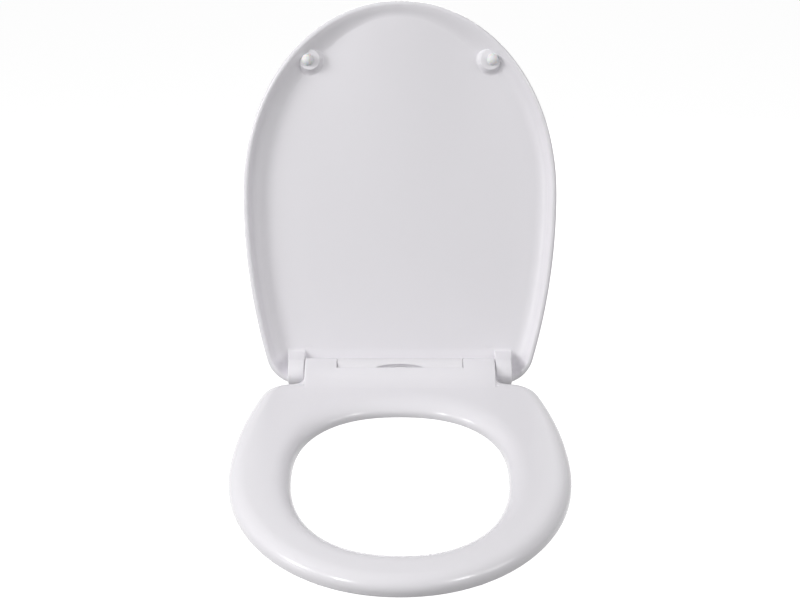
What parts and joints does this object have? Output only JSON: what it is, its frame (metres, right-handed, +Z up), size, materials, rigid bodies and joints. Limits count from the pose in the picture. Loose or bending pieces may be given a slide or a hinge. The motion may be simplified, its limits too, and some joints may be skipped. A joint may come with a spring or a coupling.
{
  "type": "toilet seat",
  "caption": "Glossy white soft-close toilet seat: egg-shaped ring, coved lid standing open, soft buffers and a quick-release hinge bar held to the bowl by fixing studs.",
  "frame": {"origin": "on the bowl's rim, midway between the fixing studs, under the hinge line", "axes": "+Z up from the bowl's rim, -Y towards the front of the seat, +X to the right seen from the front"},
  "size_m": [0.3672, 0.5934, 0.4627],
  "materials": {
    "moulding": "glossy white thermoset",
    "bar": "satin white plastic",
    "button": "satin white plastic",
    "seat_buffer": "soft translucent white",
    "lid_buffer": "soft translucent white",
    "inner_plastic": "moulded, matt",
    "bush": "moulded, matt",
    "damper": "moulded, matt black",
    "shaft": "moulded, smooth",
    "fixing_plastic": "moulded, matt white",
    "gasket": "dark grey rubber",
    "steel": "zinc plated",
    "spring_steel": "drawn wire"
  },
  "bodies": {
    "hinge_base": {"hinge_housing": "bar", "housing_base": "inner_plastic", "cover_screw_1": "steel", "cover_screw_2": "steel", "cover_screw_3": "steel", "cover_screw_4": "steel", "damper_case_left": "damper", "damper_case_right": "damper", "damper_cap_left": "damper", "damper_cap_right": "damper", "latch_spring_left": "spring_steel", "latch_spring_right": "spring_steel"},
    "lid": {"lid": "moulding", "lid_buffer_left": "lid_buffer", "lid_buffer_right": "lid_buffer", "damper_shaft_left": "shaft", "lid_bush_right": "bush"},
    "seat": {"seat_ring": "moulding", "seat_buffer_front_left": "seat_buffer", "seat_buffer_front_right": "seat_buffer", "seat_buffer_rear_left": "seat_buffer", "seat_buffer_rear_right": "seat_buffer", "damper_shaft_right": "shaft", "ring_bush_left": "bush"},
    "button": {"release_button": "button"},
    "latch_left": {"latch_left": "steel"},
    "latch_right": {"latch_right": "steel"},
    "adjuster_left": {"fixing_plate_left": "fixing_plastic", "plate_gasket_left": "gasket", "fixing_stud_left": "steel", "cone_washer_left": "gasket", "wing_nut_left": "fixing_plastic"},
    "adjuster_right": {"fixing_plate_right": "fixing_plastic", "plate_gasket_right": "gasket", "fixing_stud_right": "steel", "cone_washer_right": "gasket", "wing_nut_right": "fixing_plastic"}
  },
  "joints": [
    {"name": "lid_hinge", "type": "hinge", "parent": "hinge_base", "child": "lid", "pos_m": [0, 0, 0.026], "axis": [-1, 0, 0], "range_deg": [-110, 0]},
    {"name": "seat_hinge", "type": "hinge", "parent": "hinge_base", "child": "seat", "pos_m": [0, 0, 0.026], "axis": [-1, 0, 0], "range_deg": [0, 105]},
    {"name": "release_press", "type": "slide", "parent": "hinge_base", "child": "button", "axis": [0, 0.866, -0.5], "range_m": [0, 0.003], "stiffness_N_per_m": 1500, "springref_m": -0.002},
    {"name": "latch_left_slide", "type": "slide", "parent": "hinge_base", "child": "latch_left", "axis": [-1, 0, 0], "range_m": [0, 0.0026], "deforming": ["latch_spring_left"]},
    {"name": "latch_right_slide", "type": "slide", "parent": "hinge_base", "child": "latch_right", "axis": [1, 0, 0], "range_m": [0, 0.0026], "deforming": ["latch_spring_right"]},
    {"name": "adjuster_left_swivel", "type": "hinge", "parent": "hinge_base", "child": "adjuster_left", "pos_m": [-0.052, 0, 0], "axis": [0, 0, 1], "range_deg": [-30, 30]},
    {"name": "adjuster_right_swivel", "type": "hinge", "parent": "hinge_base", "child": "adjuster_right", "pos_m": [0.052, 0, 0], "axis": [0, 0, 1], "range_deg": [-30, 30]}
  ],
  "couplings": [
    {"joint": "latch_left_slide", "follows": "release_press", "ratio": 0.86603},
    {"joint": "latch_right_slide", "follows": "release_press", "ratio": 0.86603}
  ]
}
